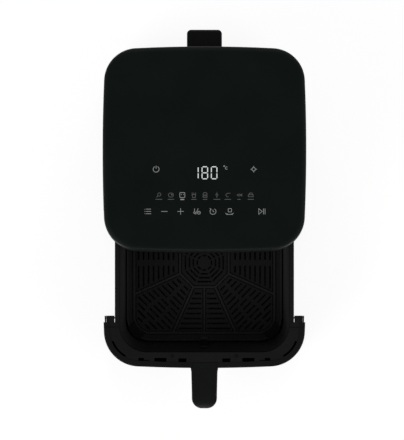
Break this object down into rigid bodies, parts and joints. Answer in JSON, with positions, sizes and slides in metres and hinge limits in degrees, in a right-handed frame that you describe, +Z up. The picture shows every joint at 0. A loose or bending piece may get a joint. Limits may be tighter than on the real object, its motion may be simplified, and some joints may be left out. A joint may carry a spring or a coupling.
{
  "type": "basket air fryer",
  "caption": "Square-bodied basket air fryer with a touch panel on top, a pull-out drawer with pan and crisper plate, a loop handle and a fan heater.",
  "frame": {"origin": "on the table, under the middle of the object's bounding box with the drawer at its rest opening of 166.5 mm", "axes": "+Z up, -Y towards the handle and the drawer's way out, +X to the right seen from the front turned to the back"},
  "size_m": [0.3054, 0.546, 0.302],
  "materials": {
    "base_plastic": "matt black plastic",
    "bearing_bronze": "sintered bronze",
    "board_green": "glass-fibre circuit board",
    "bumper_silicone": "soft black silicone",
    "ceramic_white": "phenolic body",
    "coil_tape": "yellow insulating tape over copper winding",
    "component_plastic": "moulded electronic components",
    "cover_black": "satin black touch panel",
    "display_white": "white light box",
    "dome_aluminium": "pressed reflector sheet",
    "duct_plastic": "heat-resistant black plastic",
    "fan_aluminium": "pressed sheet",
    "foot_rubber": "soft black rubber",
    "gland_rubber": "black rubber",
    "handle_black": "satin black moulded plastic",
    "heater_steel": "oxidised heating tube",
    "housing_black": "fine-grained black moulded plastic",
    "liner_steel": "galvanised sheet steel",
    "motor_steel": "laminated steel",
    "pad_foam": "conductive foam",
    "pan_coating": "dark non-stick coating on steel",
    "plate_coating": "dark non-stick coating on steel",
    "screw_black": "black-finished steel",
    "screw_steel": "zinc plated",
    "trim_black": "matt black moulded plastic",
    "wire_steel": "plated wire"
  },
  "bodies": {
    "housing": {"base_plate": "base_plastic", "board_carrier": "duct_plastic", "cavity_frame": "base_plastic", "chamber_plate": "liner_steel", "control_board": "board_green", "cord_gland": "gland_rubber", "display_module": "display_white", "drawer_liner": "liner_steel", "exhaust_duct": "duct_plastic", "exhaust_grille": "base_plastic", "foot_front_left": "foot_rubber", "foot_front_right": "foot_rubber", "foot_rear_left": "foot_rubber", "foot_rear_right": "foot_rubber", "heater_clips": "screw_steel", "heater_dome": "dome_aluminium", "heater_guard": "wire_steel", "heating_element": "heater_steel", "motor_bearing_lower": "bearing_bronze", "motor_bearing_upper": "bearing_bronze", "motor_bracket": "liner_steel", "motor_coil": "coil_tape", "motor_frame": "liner_steel", "motor_screws": "screw_steel", "motor_stator": "motor_steel", "outer_housing": "housing_black", "power_board": "board_green", "power_components": "component_plastic", "rear_spacer": "housing_black", "slide_rail_left": "duct_plastic", "slide_rail_right": "duct_plastic", "switch_body": "component_plastic", "temperature_sensor": "screw_steel", "thermal_cutout": "ceramic_white", "top_cover": "cover_black", "touch_pads": "pad_foam", "upper_fascia": "base_plastic"},
    "drawer": {"pan": "pan_coating", "front_shell": "housing_black", "front_inner_cover": "trim_black", "front_trim": "trim_black", "trim_screws": "screw_black", "pan_bracket": "screw_steel", "handle_grip": "handle_black", "handle_insert": "handle_black", "handle_bracket": "screw_steel", "handle_screws": "screw_steel", "bracket_screws": "screw_steel"},
    "plate": {"crisper_plate": "plate_coating", "plate_bumper_front_left": "bumper_silicone", "plate_bumper_front_right": "bumper_silicone", "plate_bumper_rear_left": "bumper_silicone", "plate_bumper_rear_right": "bumper_silicone"},
    "fan_rotor": {"motor_shaft": "screw_steel", "motor_rotor": "motor_steel", "fan_impeller": "fan_aluminium", "cooling_fan": "fan_aluminium", "shaft_nut": "screw_steel"},
    "switch_leaf": {"switch_lever": "screw_steel"}
  },
  "joints": [
    {"name": "drawer_slide", "type": "slide", "parent": "housing", "child": "drawer", "axis": [0, -1, 0], "range_m": [-0.1665, 0.1]},
    {"name": "plate_lift", "type": "slide", "parent": "drawer", "child": "plate", "axis": [0, 0, 1], "range_m": [0, 0.038]},
    {"name": "fan_spin", "type": "hinge", "parent": "housing", "child": "fan_rotor", "pos_m": [0, 0.104, 0.2], "axis": [0, 0, 1], "continuous": true},
    {"name": "switch_leaf_hinge", "type": "hinge", "parent": "housing", "child": "switch_leaf", "pos_m": [0.1373, 0.0425, 0.095], "axis": [-1, 0, 0], "range_deg": [0, 5], "stiffness_Nm_per_rad": 0.01}
  ]
}
